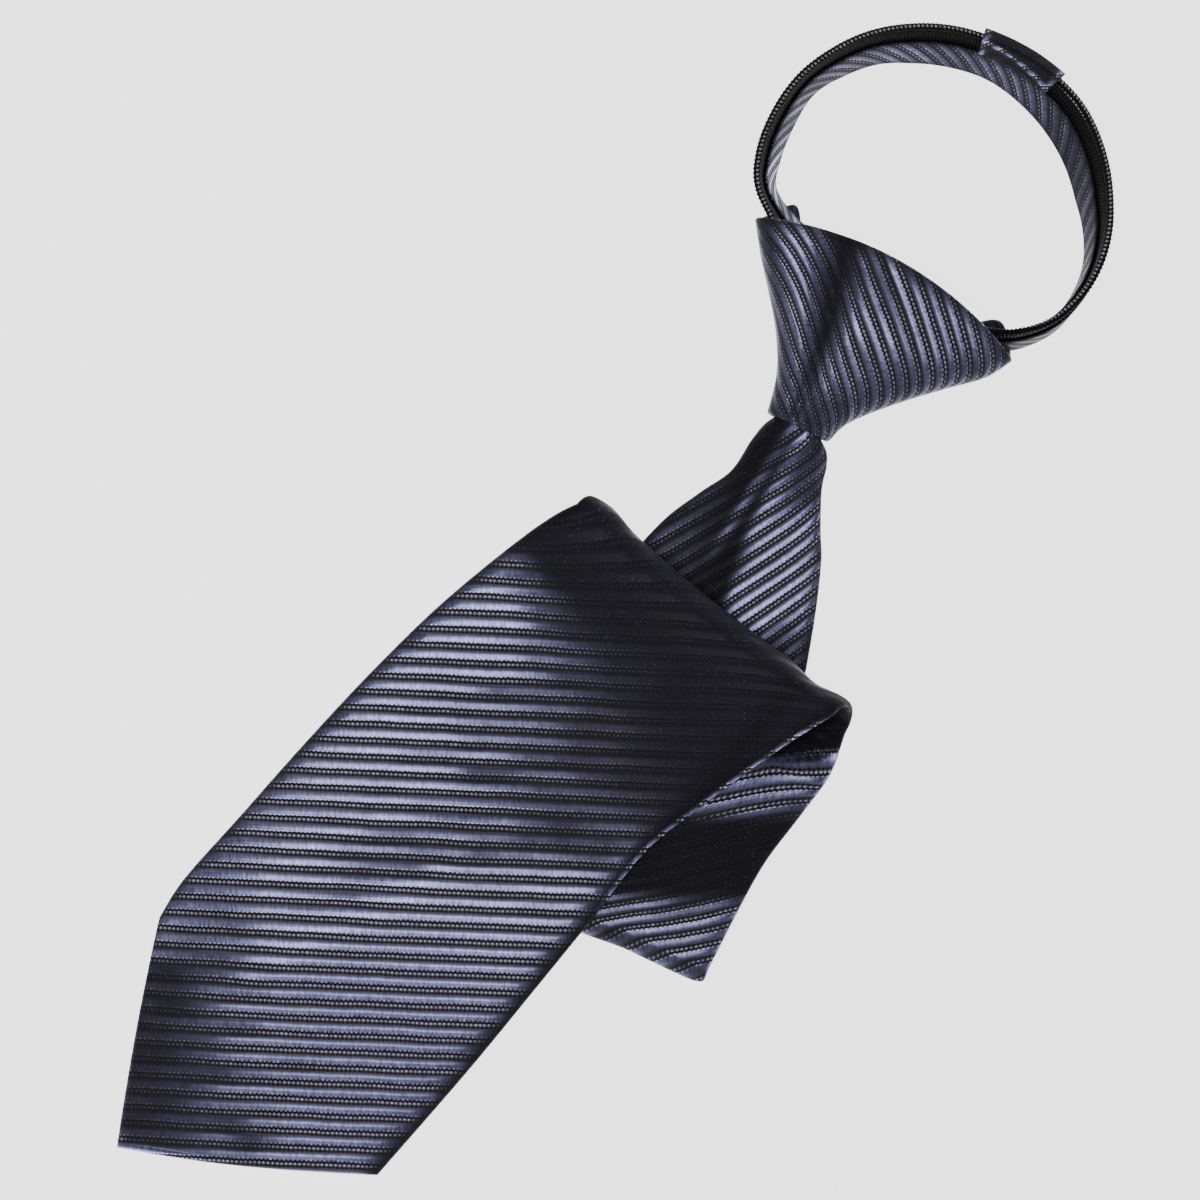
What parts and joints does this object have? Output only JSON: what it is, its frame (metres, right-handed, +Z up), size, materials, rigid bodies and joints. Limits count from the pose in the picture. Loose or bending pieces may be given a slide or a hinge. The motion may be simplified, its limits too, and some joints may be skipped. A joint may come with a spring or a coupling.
{
  "type": "pre-tied necktie",
  "caption": "Pre-tied zipper necktie of ribbed satin, with its knot, neck loop and blade, folded in three and laid flat with its point on top.",
  "frame": {"origin": "on the surface that the tie lies on, under the middle of its box", "axes": "+Z up from the surface, +Y from the pointed end towards the neck loop, +X to the right as seen from above with the loop at the top"},
  "size_m": [0.2329, 0.2695, 0.0195],
  "materials": {
    "ribbed_satin": "ribbed satin weave",
    "zipper_tape": "matte woven tape",
    "zipper_coil": "moulded nylon coil",
    "slider_metal": "black lacquer"
  },
  "bodies": {
    "root": {"blade": "ribbed_satin", "knot": "ribbed_satin", "neck_band": "ribbed_satin", "loop_sleeve": "ribbed_satin", "zipper_tape_left": "zipper_tape", "zipper_tape_right": "zipper_tape", "zipper_teeth_left": "zipper_coil", "zipper_teeth_right": "zipper_coil", "zipper_slider": "slider_metal"}
  },
  "joints": []
}
